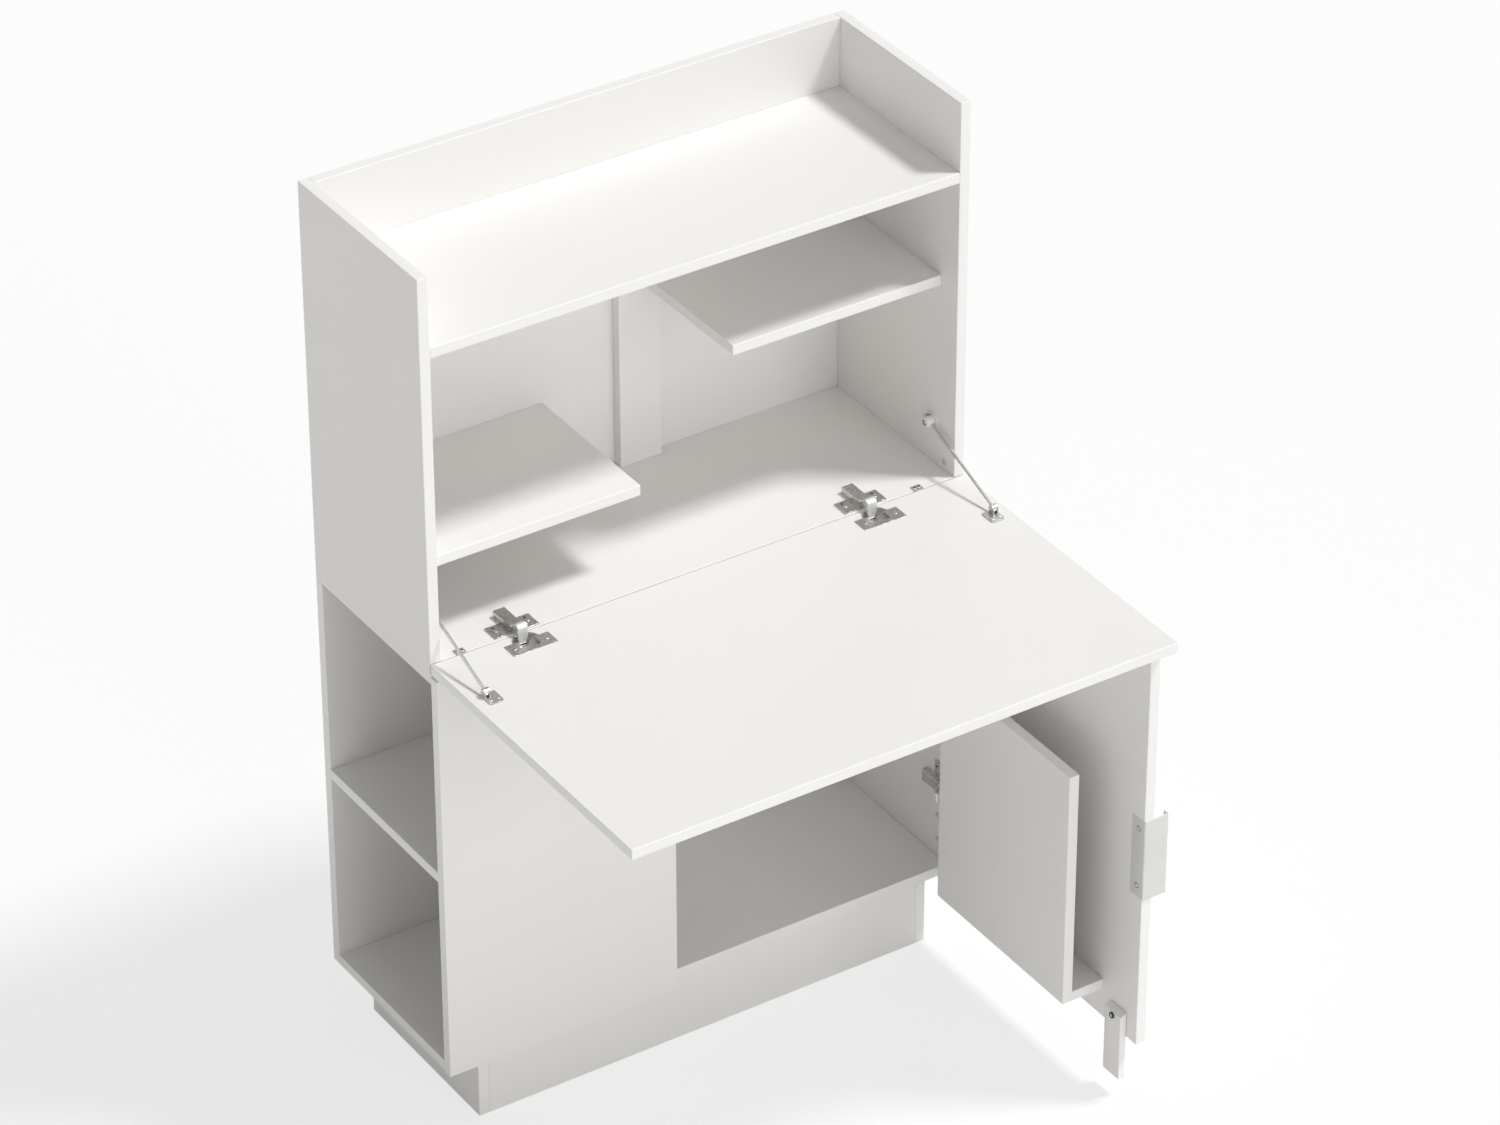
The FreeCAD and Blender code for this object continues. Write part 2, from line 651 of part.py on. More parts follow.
def main():
    make_sides()
    make_levels()
    make_backs()
    make_cubbies()
    make_hutch_shelves()
    make_plinth()
    make_flap()
    make_door()
    make_hinges()
    make_stay("left_side", inner_left, AXIS_X)
    make_stay("right_side", inner_right, -AXIS_X)
    make_pocket()
    make_foot()
    make_pull()
    make_trim()

    os.makedirs("parts", exist_ok=True)
    for name, solids in nodes.items():
        tools = pockets.get(name, [])
        cut = [solid.cut(tools) if tools else solid for solid in solids]
        pieces = [piece for shape in cut for piece in shape.Solids]
        shape = pieces[0] if len(pieces) == 1 else Part.makeCompound(pieces)
        shape.exportStep("parts/" + name + ".step")
        print(name, len(pieces), "valid" if shape.isValid() else "NOT VALID", round(shape.Volume))


main()
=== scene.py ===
"""Looks of a white drop-front desk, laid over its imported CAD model.

Every board is taken from its solid with eased edges and a banded rim, the fittings get plated and drawn
metal, and the screws get turned heads with recesses. The desk stands on a plain pale floor in soft light."""

import json
import math
from collections import namedtuple

import bmesh
import bpy
from bpy.props import FloatProperty, FloatVectorProperty, IntProperty, PointerProperty
from bpy.types import Operator, Panel, PropertyGroup
from mathutils import Matrix, Vector

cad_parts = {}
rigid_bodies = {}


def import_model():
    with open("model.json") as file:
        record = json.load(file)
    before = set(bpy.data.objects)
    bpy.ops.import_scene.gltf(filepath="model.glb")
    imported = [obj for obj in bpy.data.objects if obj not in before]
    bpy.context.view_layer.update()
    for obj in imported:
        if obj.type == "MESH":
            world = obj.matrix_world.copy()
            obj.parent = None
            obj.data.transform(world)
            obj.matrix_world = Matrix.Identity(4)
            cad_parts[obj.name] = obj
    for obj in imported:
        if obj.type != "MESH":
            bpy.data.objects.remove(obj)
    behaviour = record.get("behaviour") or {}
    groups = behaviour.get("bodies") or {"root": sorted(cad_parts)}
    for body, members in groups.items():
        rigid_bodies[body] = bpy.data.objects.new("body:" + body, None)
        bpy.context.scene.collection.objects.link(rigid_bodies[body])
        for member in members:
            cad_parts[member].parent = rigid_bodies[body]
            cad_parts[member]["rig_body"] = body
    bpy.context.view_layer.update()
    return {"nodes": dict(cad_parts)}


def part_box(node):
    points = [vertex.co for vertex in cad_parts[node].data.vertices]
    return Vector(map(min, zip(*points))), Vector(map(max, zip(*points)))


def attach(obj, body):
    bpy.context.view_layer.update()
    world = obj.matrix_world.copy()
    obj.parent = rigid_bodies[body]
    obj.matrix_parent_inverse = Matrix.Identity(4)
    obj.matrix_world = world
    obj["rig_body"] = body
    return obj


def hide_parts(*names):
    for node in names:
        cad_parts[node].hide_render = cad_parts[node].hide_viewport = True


bl_info = {
    "name": "Drop-front desk",
    "version": (1, 0, 0),
    "blender": (4, 5, 0),
    "location": "View3D > Sidebar > Desk",
    "description": "Finishes, fittings and stage of a white drop-front desk",
    "category": "Object",
}

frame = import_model()

# Points closer than WELD are one point, and points closer than FLUSH to a plane lie in it
WELD = 1e-6
FLUSH = 2e-5
# Faces that meet at less than FLAT are one face
FLAT = math.radians(0.3)
# Edges sharper than these are eased, on boards, on fittings and at the pull's folds
BOARD_CORNER = math.radians(30.0)
FITTING_CORNER = math.radians(40.0)
FOLD_CORNER = math.radians(60.0)
# Edges sharper than this stay crisp when shaded
CREASE = math.radians(40.0)
# A unit vector's part along an axis above which it runs along that axis, or faces roughly that way
ALONG = 0.99
FACING = 0.5

UP = Vector((0.0, 0.0, 1.0))
BACK = Vector((0.0, 1.0, 0.0))
WHITE = (1.0, 1.0, 1.0, 1.0)

# Points of a screw farther out than RIM of its widest radius are its head's, nearer than SHANK its shank's
RIM = 0.9
SHANK = 0.8
# Degrees that a node's first screw is turned, and each next one further than the last
FIRST_TURN = 37.0
NEXT_TURN = 53.0
# Radians that the screw in a swivel is turned, and each cam further than the last
KNOB_TURN = 0.6
CAM_TURN = 0.5

# Facets round the eased edges of fittings, the backs of the hinges' arms and the pull's folds
FITTING_STEPS = 2
ARM_STEPS = 3
FOLD_STEPS = 5

# Outlines of the screws' heads from their rim to the axis, in parts of the head's radius and height
PAN_HEAD = ((1.0, 0.0), (1.0, 0.12), (0.87, 0.14), (0.86, 0.4), (0.8, 0.7), (0.66, 0.9), (0.4, 1.0),
            (0.0, 1.0))
FLUSH_HEAD = ((1.0, 0.0), (1.0, 0.85), (0.96, 1.0), (0.0, 1.0))
RINGED_HEAD = ((1.2, 0.0), (1.2, 0.1), (0.88, 0.12), (0.86, 0.5), (0.74, 0.85), (0.5, 1.0), (0.0, 1.0))
BOLT_HEAD = ((1.0, 0.0), (1.0, 0.7), (0.94, 0.95), (0.86, 1.0), (0.62, 1.0), (0.56, 0.75), (0.0, 0.75))
SOCKET_HEAD = ((1.0, 0.0), (1.0, 0.5), (0.9, 1.0), (0.62, 1.0), (0.56, 0.12), (0.0, 0.12))
# The screw in a swivel's recess has a head alone, from the axis round to the axis
KNOB_SCREW = ((0.0, 0.0), (1.0, 0.0), (1.0, 0.7), (0.88, 1.0), (0.0, 1.0))
# Share of its solid's head that a socket head keeps, and of its mouth that a recess keeps at its floor
SOCKET_HEAD_SHARE = 0.8
RECESS_TAPER = 0.75

# Half the floor's side and the camera's farthest view in metres, and its sensor's width in millimetres
FLOOR_REACH = 30.0
FARTHEST_VIEW = 60.0
SENSOR_WIDTH = 36.0

BOARDS = (
    "left_side", "right_side", "bottom_board", "cubby_ceiling", "desk_board", "top_shelf", "lower_back",
    "hutch_back", "gallery_rail", "divider", "cubby_shelf", "front_panel", "back_batten", "left_shelf",
    "right_shelf", "plinth_left", "plinth_right", "plinth_front", "plinth_back", "desktop", "door",
    "pocket_panel", "pocket_ledge", "foot_block",
)
HINGED = ("desktop", "door")

Tone = namedtuple("Tone", "colour drift scale")
Gloss = namedtuple("Gloss", "middle spread scale")
Relief = namedtuple("Relief", "scale strength depth stretch", defaults=((1.0, 1.0, 1.0),))
ScrewPlace = namedtuple("ScrewPlace", "seat outward head height shank length")


def colour_property(name, description, default):
    return FloatVectorProperty(name=name, description=description, subtype="COLOR", size=3, min=0.0, max=1.0,
                               default=default)


def length_property(name, description, default):
    return FloatProperty(name=name, description=description, unit="LENGTH", min=0.0, precision=5,
                         default=default)


def share_property(name, description, default):
    return FloatProperty(name=name, description=description, subtype="FACTOR", min=0.0, max=1.0,
                         default=default)


def strength_property(name, description, default):
    return FloatProperty(name=name, description=description, min=0.0, default=default)


def angle_property(name, description, degrees):
    return FloatProperty(name=name, description=description, subtype="ANGLE", default=math.radians(degrees))


class BoardSettings(PropertyGroup):
    face: colour_property("Board face", "Colour of the boards' faces", (0.87, 0.862, 0.844))
    band: colour_property("Edge band", "Colour of the bands on the boards' edges", (0.89, 0.884, 0.868))
    gloss: share_property("Roughness", "Roughness of the boards' faces", 0.42)
    easing: length_property("Easing", "Radius of the boards' eased edges", 0.0009)
    steps: IntProperty(name="Easing steps", description="Facets round an eased edge", min=1, max=8, default=3)


class FittingSettings(PropertyGroup):
    nickel: colour_property("Nickel", "Colour of the hinges' plates, cups and arms", (0.62, 0.612, 0.595))
    # The bright nickel is a painted highlight, a lighter copy of the same plating
    bright: colour_property("Bright nickel", "Painted highlight on the bridges over the seams", (0.9, 0.895, 0.885))
    steel: colour_property("Steel", "Colour of rods and brackets", (0.6, 0.595, 0.585))
    screw: colour_property("Screws", "Colour of the screws' heads", (0.78, 0.775, 0.76))
    knob: colour_property("Swivel", "Colour of the stays' swivels and bosses", (0.9, 0.9, 0.89))
    sheet: colour_property("Pull sheet", "Colour of the folded pull", (0.73, 0.728, 0.715))
    # The inside of the pull's folds is painted shade, not a metal of its own
    inside: colour_property("Pull inner shade", "Painted shade inside the pull's folds", (0.3, 0.3, 0.295))
    plug: colour_property("Plugs", "Colour of the plugs in spare holes", (0.7, 0.7, 0.69))
    beech: colour_property("Beech", "Colour of the dowels", (0.62, 0.44, 0.26))
    # This near-black is painted shade, laid into recesses, holes, sockets and slots and round the rims of
    # screw heads
    recess: colour_property("Recesses", "Painted shade inside recesses, holes and round screw heads", (0.035, 0.034, 0.033))
    easing: length_property("Easing", "Radius of the fittings' eased edges", 0.00025)
    fold: length_property("Fold radius", "Outer radius of the pull's folds", 0.0018)
    fold_flat: length_property("Fold flat", "Narrowest flat beside a fold that is rounded", 0.003)
    arm_rounding: length_property("Arm rounding", "Radius along the backs of the hinges' arms", 0.0012)
    arm_edge: length_property("Arm edge", "Shortest edge that is rounded so", 0.015)
    bridge_end: FloatProperty(name="Bridge's end", description="How far back the painted highlight on the bridges reaches",
                              unit="LENGTH", precision=4, default=-0.004)
    # Each spare hole holds a dark disc of painted shade as its floor
    spare_hole: length_property("Spare hole", "Radius of the hole in each hinge plate's wing", 0.0021)
    spare_hole_offset: length_property("Spare hole offset", "Its distance behind the wing's screw", 0.008)
    spare_hole_depth: length_property("Spare hole depth", "Depth of the dark floor in that hole", 0.0018)
    spare_hole_floor: length_property("Spare hole floor", "Thickness of that floor", 0.0001)
    knob_recess: length_property("Knob recess", "Radius of the recess in each swivel's front", 0.0042)
    knob_depth: length_property("Knob depth", "Depth of that recess", 0.0021)
    knob_screw: length_property("Knob screw", "Radius of the screw in that recess", 0.0028)
    knob_screw_height: length_property("Knob screw height", "Height of that screw's head", 0.0015)
    knob_screw_seat: length_property("Knob screw seat", "Depth that the screw sits at", 0.0019)
    cam_cross: length_property("Cam cross", "Length of the cross recess in each cam", 0.0085)
    cam_slot: length_property("Cam slot", "Width of that cross's arms", 0.0019)
    cam_depth: length_property("Cam depth", "Depth of that cross", 0.003)
    # Within this radius a plug's bore is painted dark as shade
    plug_bore: length_property("Plug bore", "Radius within which a plug's bore is dark", 0.0015)
    facets: IntProperty(name="Facets", description="Facets round a turned screw", min=8, max=96, default=32)


class StageSettings(PropertyGroup):
    floor: colour_property("Floor", "Colour of the floor", (0.94, 0.94, 0.94))
    paleness: share_property("Paleness", "Share of the floor that looks white to the camera", 0.68)
    fill: colour_property("Fill colour", "Colour of the even light all round", (1.0, 0.985, 0.965))
    ambient: strength_property("Fill", "Strength of the even light all round", 0.345)
    key: strength_property("Key", "Strength of the key light", 2.1)
    key_softness: angle_property("Key softness", "Angle that the key light fills", 10.0)
    key_bearing: angle_property("Key bearing", "Bearing that the key light comes from", 58.0)
    key_height: angle_property("Key height", "Height that the key light comes from", 60.0)
    front: strength_property("Front", "Strength of the soft light in front", 0.74)
    front_softness: angle_property("Front softness", "Angle that the front light fills", 40.0)
    front_bearing: angle_property("Front bearing", "Bearing that the front light comes from", 4.0)
    front_height: angle_property("Front height", "Height that the front light comes from", 14.0)
    lens: FloatProperty(name="Lens", description="Focal length in millimetres", min=1.0, default=150.1857)
    azimuth: angle_property("Azimuth", "Camera's bearing", -33.0658)
    elevation: angle_property("Elevation", "Camera's height above the horizon", 33.2487)
    roll: angle_property("Roll", "Camera's roll", -0.0976)
    eye: FloatVectorProperty(name="Camera", description="Camera's place", subtype="TRANSLATION", size=3,
                             default=(-3.55121, -5.57066, 5.06162))


def put(tree, kind, inputs=None, **options):
    """A shader node with its options set and its inputs linked or filled."""
    node = tree.nodes.new("ShaderNode" + kind)
    for option, value in options.items():
        setattr(node, option, value)
    for socket, value in (inputs or {}).items():
        if isinstance(value, bpy.types.NodeSocket):
            tree.links.new(value, node.inputs[socket])
        else:
            node.inputs[socket].default_value = value
    return node


def effect_group(name, inputs, output, kind):
    """An empty shader group with its sockets, and its two end nodes."""
    group = bpy.data.node_groups.new(name, "ShaderNodeTree")
    for label, socket_kind, default in inputs:
        group.interface.new_socket(label, in_out="INPUT", socket_type=socket_kind).default_value = default
    group.interface.new_socket(output, in_out="OUTPUT", socket_type=kind)
    return group, group.nodes.new("NodeGroupInput").outputs, group.nodes.new("NodeGroupOutput").inputs


def tone_drift():
    """A colour that drifts a little darker in broad soft patches."""
    group, given, out = effect_group(
        "tone drift",
        (("Colour", "NodeSocketColor", (0.8, 0.8, 0.8, 1.0)), ("Drift", "NodeSocketFloat", 0.03),
         ("Scale", "NodeSocketFloat", 3.0)),
        "Colour", "NodeSocketColor")
    place = put(group, "TexCoord")
    patches = put(group, "TexNoise", {"Vector": place.outputs["Object"], "Scale": given["Scale"],
                                      "Detail": 3.0})
    spread = put(group, "MapRange", {"Value": patches.outputs["Fac"], "From Min": 0.3, "From Max": 0.7})
    darker = put(group, "Math", {0: spread.outputs["Result"], 1: given["Drift"]}, operation="MULTIPLY")
    value = put(group, "Math", {0: 1.0, 1: darker.outputs["Value"]}, operation="SUBTRACT")
    shade = put(group, "HueSaturation", {"Value": value.outputs["Value"], "Color": given["Colour"]})
    group.links.new(shade.outputs["Color"], out["Colour"])
    return group


def handled_gloss():
    """A roughness that wanders round a middle value, as on a surface that has been wiped and handled."""
    group, given, out = effect_group(
        "handled gloss",
        (("Middle", "NodeSocketFloat", 0.4), ("Spread", "NodeSocketFloat", 0.06),
         ("Scale", "NodeSocketFloat", 9.0)),
        "Roughness", "NodeSocketFloat")
    place = put(group, "TexCoord")
    wipes = put(group, "TexNoise", {"Vector": place.outputs["Object"], "Scale": given["Scale"], "Detail": 5.0,
                                    "Distortion": 0.4})
    centred = put(group, "MapRange", {"Value": wipes.outputs["Fac"], "From Min": 0.25, "From Max": 0.75,
                                      "To Min": -1.0, "To Max": 1.0})
    rough = put(group, "Math", {0: centred.outputs["Result"], 1: given["Spread"], 2: given["Middle"]},
                operation="MULTIPLY_ADD")
    group.links.new(rough.outputs["Value"], out["Roughness"])
    return group


def fine_relief():
    """A fine relief, stretched along any axis: pressed pearl on laminate, or drawing lines on metal."""
    group, given, out = effect_group(
        "fine relief",
        (("Scale", "NodeSocketFloat", 900.0), ("Stretch", "NodeSocketVector", (1.0, 1.0, 1.0))),
        "Height", "NodeSocketFloat")
    place = put(group, "TexCoord")
    stretched = put(group, "VectorMath", {0: place.outputs["Object"], 1: given["Stretch"]},
                    operation="MULTIPLY")
    grain = put(group, "TexNoise", {"Vector": stretched.outputs["Vector"], "Scale": given["Scale"],
                                    "Detail": 2.0})
    group.links.new(grain.outputs["Fac"], out["Height"])
    return group


def hairlines():
    """Sparse straight hairline scratches in two directions, as a mask."""
    group, given, out = effect_group(
        "hairlines",
        (("Scale", "NodeSocketFloat", 4.0), ("Sparseness", "NodeSocketFloat", 0.66)),
        "Mask", "NodeSocketFloat")
    place = put(group, "TexCoord")
    masks = []
    for turn in (0.35, -0.9):
        laid = put(group, "Mapping", {"Vector": place.outputs["Object"], "Rotation": (turn, turn, turn),
                                      "Scale": (1.0, 90.0, 90.0)})
        streaks = put(group, "TexNoise", {"Vector": laid.outputs["Vector"], "Scale": given["Scale"],
                                          "Detail": 1.0})
        cut = put(group, "Math", {0: streaks.outputs["Fac"], 1: given["Sparseness"]},
                  operation="GREATER_THAN")
        masks.append(cut.outputs["Value"])
    both = put(group, "Math", {0: masks[0], 1: masks[1]}, operation="MAXIMUM")
    group.links.new(both.outputs["Value"], out["Mask"])
    return group


def effect(material, make, **values):
    """One of the shared effects placed in a material with its own values."""
    name = make.__name__.replace("_", " ")
    node = material.node_tree.nodes.new("ShaderNodeGroup")
    node.node_tree = bpy.data.node_groups.get(name) or make()
    for label, value in values.items():
        node.inputs[label].default_value = value
    return node.outputs[0]


def finish(name, tone, gloss, relief, metallic=0.0, scratched=0.0):
    """A material from the shared effects: colour drift, wandering roughness, fine relief and hairlines."""
    material = bpy.data.materials.get(name)
    if material:
        return material
    material = bpy.data.materials.new(name)
    material.use_nodes = True
    tree = material.node_tree
    surface = tree.nodes["Principled BSDF"]
    surface.inputs["Metallic"].default_value = metallic

    colour = effect(material, tone_drift, Colour=(*tone.colour, 1.0), Drift=tone.drift, Scale=tone.scale)
    tree.links.new(colour, surface.inputs["Base Color"])

    rough = effect(material, handled_gloss, Middle=gloss.middle, Spread=gloss.spread, Scale=gloss.scale)
    if scratched:
        lines = effect(material, hairlines)
        worn = put(tree, "Math", {0: lines, 1: scratched, 2: rough}, operation="MULTIPLY_ADD")
        rough = worn.outputs["Value"]
    tree.links.new(rough, surface.inputs["Roughness"])

    height = effect(material, fine_relief, Scale=relief.scale, Stretch=relief.stretch)
    bump = put(tree, "Bump", {"Strength": relief.strength, "Distance": relief.depth, "Height": height})
    tree.links.new(bump.outputs["Normal"], surface.inputs["Normal"])
    return material


def laminate(settings):
    return finish(
        "white laminate",
        Tone(settings.face, drift=0.02, scale=2.2),
        Gloss(settings.gloss, spread=0.05, scale=7.0),
        Relief(scale=1500.0, strength=0.12, depth=0.0002),
        scratched=0.06)


def edge_band(settings):
    return finish(
        "white edge band",
        Tone(settings.band, drift=0.02, scale=6.0),
        Gloss(settings.gloss - 0.08, spread=0.04, scale=20.0),
        Relief(scale=2500.0, strength=0.06, depth=0.0001))


def nickel_plate(settings):
    return finish(
        "nickel plate",
        Tone(settings.nickel, drift=0.08, scale=60.0),
        Gloss(0.28, spread=0.05, scale=180.0),
        Relief(scale=1800.0, strength=0.03, depth=0.0001),
        metallic=1.0, scratched=0.06)


# A lighter copy of the nickel, a painted highlight on the hinges' bridges
def bright_nickel(settings):
    return finish(
        "bright nickel",
        Tone(settings.bright, drift=0.04, scale=60.0),
        Gloss(0.3, spread=0.05, scale=180.0),
        Relief(scale=1800.0, strength=0.03, depth=0.0001),
        metallic=0.35, scratched=0.05)


def drawn_steel(settings):
    return finish(
        "drawn steel",
        Tone(settings.steel, drift=0.1, scale=40.0),
        Gloss(0.26, spread=0.06, scale=90.0),
        Relief(scale=900.0, strength=0.1, depth=0.0001, stretch=(1.0, 0.12, 0.2)),
        metallic=1.0, scratched=0.1)


def zinc_plate(settings):
    return finish(
        "zinc plate",
        Tone(settings.steel, drift=0.12, scale=90.0),
        Gloss(0.32, spread=0.06, scale=200.0),
        Relief(scale=1600.0, strength=0.06, depth=0.0001),
        metallic=1.0)


def screw_steel(settings):
    return finish(
        "screw steel",
        Tone(settings.screw, drift=0.1, scale=200.0),
        Gloss(0.3, spread=0.06, scale=300.0),
        Relief(scale=2200.0, strength=0.05, depth=0.0001),
        metallic=0.8)


def satin_knob(settings):
    return finish(
        "satin knob",
        Tone(settings.knob, drift=0.05, scale=90.0),
        Gloss(0.38, spread=0.06, scale=200.0),
        Relief(scale=1500.0, strength=0.06, depth=0.0001),
        metallic=0.2)


def satin_sheet(settings):
    return finish(
        "satin sheet",
        Tone(settings.sheet, drift=0.03, scale=12.0),
        Gloss(0.42, spread=0.05, scale=60.0),
        Relief(scale=700.0, strength=0.1, depth=0.0001, stretch=(1.0, 1.0, 0.06)),
        metallic=0.45, scratched=0.08)


# Painted shade for the inside of the pull's folds
def bare_metal(settings):
    return finish(
        "bare metal",
        Tone(settings.inside, drift=0.1, scale=40.0),
        Gloss(0.4, spread=0.06, scale=90.0),
        Relief(scale=900.0, strength=0.08, depth=0.0001, stretch=(1.0, 1.0, 0.1)),
        metallic=0.9)


def plug_plastic(settings):
    return finish(
        "plug plastic",
        Tone(settings.plug, drift=0.04, scale=80.0),
        Gloss(0.45, spread=0.05, scale=150.0),
        Relief(scale=2500.0, strength=0.08, depth=0.0001))


# Near-black painted shade for recesses, holes, sockets and the rims of screw heads
def dark_recess(settings):
    return finish(
        "dark recess",
        Tone(settings.recess, drift=0.3, scale=300.0),
        Gloss(0.65, spread=0.1, scale=300.0),
        Relief(scale=3000.0, strength=0.2, depth=0.0001))


def beech(settings):
    return finish(
        "beech",
        Tone(settings.beech, drift=0.25, scale=120.0),
        Gloss(0.6, spread=0.08, scale=200.0),
        Relief(scale=600.0, strength=0.3, depth=0.0002, stretch=(0.2, 1.0, 1.0)))


def cast_zinc(settings):
    return finish(
        "cast zinc",
        Tone(settings.steel, drift=0.18, scale=120.0),
        Gloss(0.45, spread=0.08, scale=200.0),
        Relief(scale=1200.0, strength=0.25, depth=0.0001),
        metallic=1.0)


def seen_rays(tree):
    """One for rays that show: seen directly, mirrored or through glass. Nought for rays that light."""
    rays = put(tree, "LightPath").outputs
    glossy = put(tree, "Math", {0: rays["Is Camera Ray"], 1: rays["Is Glossy Ray"]}, operation="MAXIMUM")
    seen = put(tree, "Math", {0: glossy.outputs["Value"], 1: rays["Is Transmission Ray"]},
               operation="MAXIMUM")
    return seen.outputs["Value"]


def pale_floor(settings):
    """A matt floor that looks nearly white, keeps the desk's shadow and can be looked through from below."""
    material = finish(
        "pale floor",
        Tone(settings.floor, drift=0.008, scale=0.5),
        Gloss(0.9, spread=0.03, scale=2.0),
        Relief(scale=200.0, strength=0.02, depth=0.0002))
    tree = material.node_tree
    matt = tree.nodes["Principled BSDF"].outputs["BSDF"]
    white = put(tree, "Emission", {"Color": WHITE, "Strength": 1.0}).outputs["Emission"]
    share = put(tree, "Math", {0: seen_rays(tree), 1: settings.paleness}, operation="MULTIPLY")
    mix = put(tree, "MixShader", {"Fac": share.outputs["Value"], 1: matt, 2: white})
    underside = put(tree, "NewGeometry").outputs["Backfacing"]
    clear = put(tree, "BsdfTransparent").outputs["BSDF"]
    either = put(tree, "MixShader", {"Fac": underside, 1: mix.outputs["Shader"], 2: clear})
    tree.links.new(either.outputs["Shader"], tree.nodes["Material Output"].inputs["Surface"])
    return material


def welded(name):
    """A node's solids as closed flat-faced meshes, free of the imported mesh's split points and triangles."""
    mesh = bmesh.new()
    mesh.from_mesh(frame["nodes"][name].data)
    bmesh.ops.remove_doubles(mesh, verts=mesh.verts, dist=WELD)
    bmesh.ops.dissolve_limit(mesh, angle_limit=FLAT, verts=mesh.verts, edges=mesh.edges)
    return mesh


def sharp_edges(mesh, corner):
    return [edge for edge in mesh.edges if len(edge.link_faces) == 2 and edge.calc_face_angle(0.0) > corner]


def runs_along(edge, axis):
    return abs((edge.verts[0].co - edge.verts[1].co).normalized()[axis]) > ALONG


def ease(mesh, edges, radius, steps, clamp=True):
    bmesh.ops.bevel(mesh, geom=edges, offset=radius, offset_type="OFFSET", segments=steps, profile=0.5,
                    affect="EDGES", clamp_overlap=clamp)


def ease_fitting(mesh, settings, corner=FITTING_CORNER):
    """Eases all the edges of a fitting that are sharper than a corner."""
    ease(mesh, sharp_edges(mesh, corner), settings.easing, FITTING_STEPS)


def shaded(mesh, name, materials):
    """A mesh turned into smooth-shaded data with its creases kept sharp and its slivers dissolved."""
    bmesh.ops.dissolve_degenerate(mesh, dist=WELD, edges=mesh.edges)
    for face in mesh.faces:
        face.smooth = True
    data = bpy.data.meshes.new(name)
    mesh.to_mesh(data)
    mesh.free()
    data.set_sharp_from_angle(angle=CREASE)
    for material in materials:
        data.materials.append(material)
    return data


def show(data, node):
    """An object that rides on its node's body in that node's stead."""
    piece = bpy.data.objects.new(data.name, data)
    bpy.context.scene.collection.objects.link(piece)
    weighted = piece.modifiers.new("flat faces", "WEIGHTED_NORMAL")
    weighted.keep_sharp = True
    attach(piece, frame["nodes"][node]["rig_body"])
    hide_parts(node)


def join(target, source, place=Matrix.Identity(4)):
    """Adds one mesh to another at a place, and frees it."""
    data = bpy.data.meshes.new("joined")
    source.transform(place)
    source.to_mesh(data)
    source.free()
    target.from_mesh(data)
    bpy.data.meshes.remove(data)


def carve(mesh, cutters):
    """Takes the cutters out of a mesh. Faces keep the material numbers that both meshes give them."""
    blank = bpy.data.materials.new("blank")
    objects = []
    for source in (mesh, cutters):
        data = bpy.data.meshes.new("carving")
        source.to_mesh(data)
        data.materials.append(blank)
        data.materials.append(blank)
        item = bpy.data.objects.new("carving", data)
        bpy.context.scene.collection.objects.link(item)
        objects.append(item)
    body, tool = objects
    cut = body.modifiers.new("cut", "BOOLEAN")
    cut.operation = "DIFFERENCE"
    cut.solver = "EXACT"
    cut.object = tool
    graph = bpy.context.evaluated_depsgraph_get()
    result = bpy.data.meshes.new_from_object(body.evaluated_get(graph), depsgraph=graph)
    if not result.polygons:
        raise RuntimeError("nothing is left after the cut")
    mesh.clear()
    mesh.from_mesh(result)
    cutters.free()
    for item in objects:
        data = item.data
        bpy.data.objects.remove(item)
        bpy.data.meshes.remove(data)
    bpy.data.meshes.remove(result)
    bpy.data.materials.remove(blank)


def solids_of(name):
    """The separate solids of a node, each as a list of its points."""
    mesh = bmesh.new()
    mesh.from_mesh(frame["nodes"][name].data)
    bmesh.ops.remove_doubles(mesh, verts=mesh.verts, dist=WELD)
    mesh.verts.ensure_lookup_table()
    seen = set()
    solids = []
    for start in mesh.verts:
        if start.index in seen:
            continue
        seen.add(start.index)
        waiting = [start]
        points = []
        while waiting:
            vert = waiting.pop()
            points.append(vert.co.copy())
            for edge in vert.link_edges:
                other = edge.other_vert(vert)
                if other.index not in seen:
                    seen.add(other.index)
                    waiting.append(other)
        solids.append(points)
    mesh.free()
    return solids


def box_of(points):
    low = Vector([min(point[axis] for point in points) for axis in range(3)])
    high = Vector([max(point[axis] for point in points) for axis in range(3)])
    return low, high


def screw_places(name):
    """Where each screw of a node sits and how large it is, read from its solid."""
    places = []
    for points in solids_of(name):
        low, high = box_of(points)
        spans = high - low
        axis = max(range(3), key=lambda number: spans[number])
        middle = (low + high) / 2
        head = max(spans[number] for number in range(3) if number != axis) / 2
        offsets = []
        for point in points:
            offset = point - middle
            offset[axis] = 0.0
            offsets.append((offset.length, point[axis]))
        rim = [along for away, along in offsets if away > RIM * head]
        shank = max(away for away, along in offsets if away < SHANK * head)
        height = max(rim) - min(rim)
        outward = Vector((0.0, 0.0, 0.0))
        outward[axis] = 1.0 if max(rim) + min(rim) > low[axis] + high[axis] else -1.0
        seat = middle.copy()
        seat[axis] = min(rim) if outward[axis] > 0 else max(rim)
        places.append(ScrewPlace(seat, outward, head, height, shank, spans[axis] - height))
    return places


def standing(seat, outward):
    """The place of a shape that stands on a seat with its own Z pointing outward."""
    return Matrix.Translation(seat) @ UP.rotation_difference(outward).to_matrix().to_4x4()


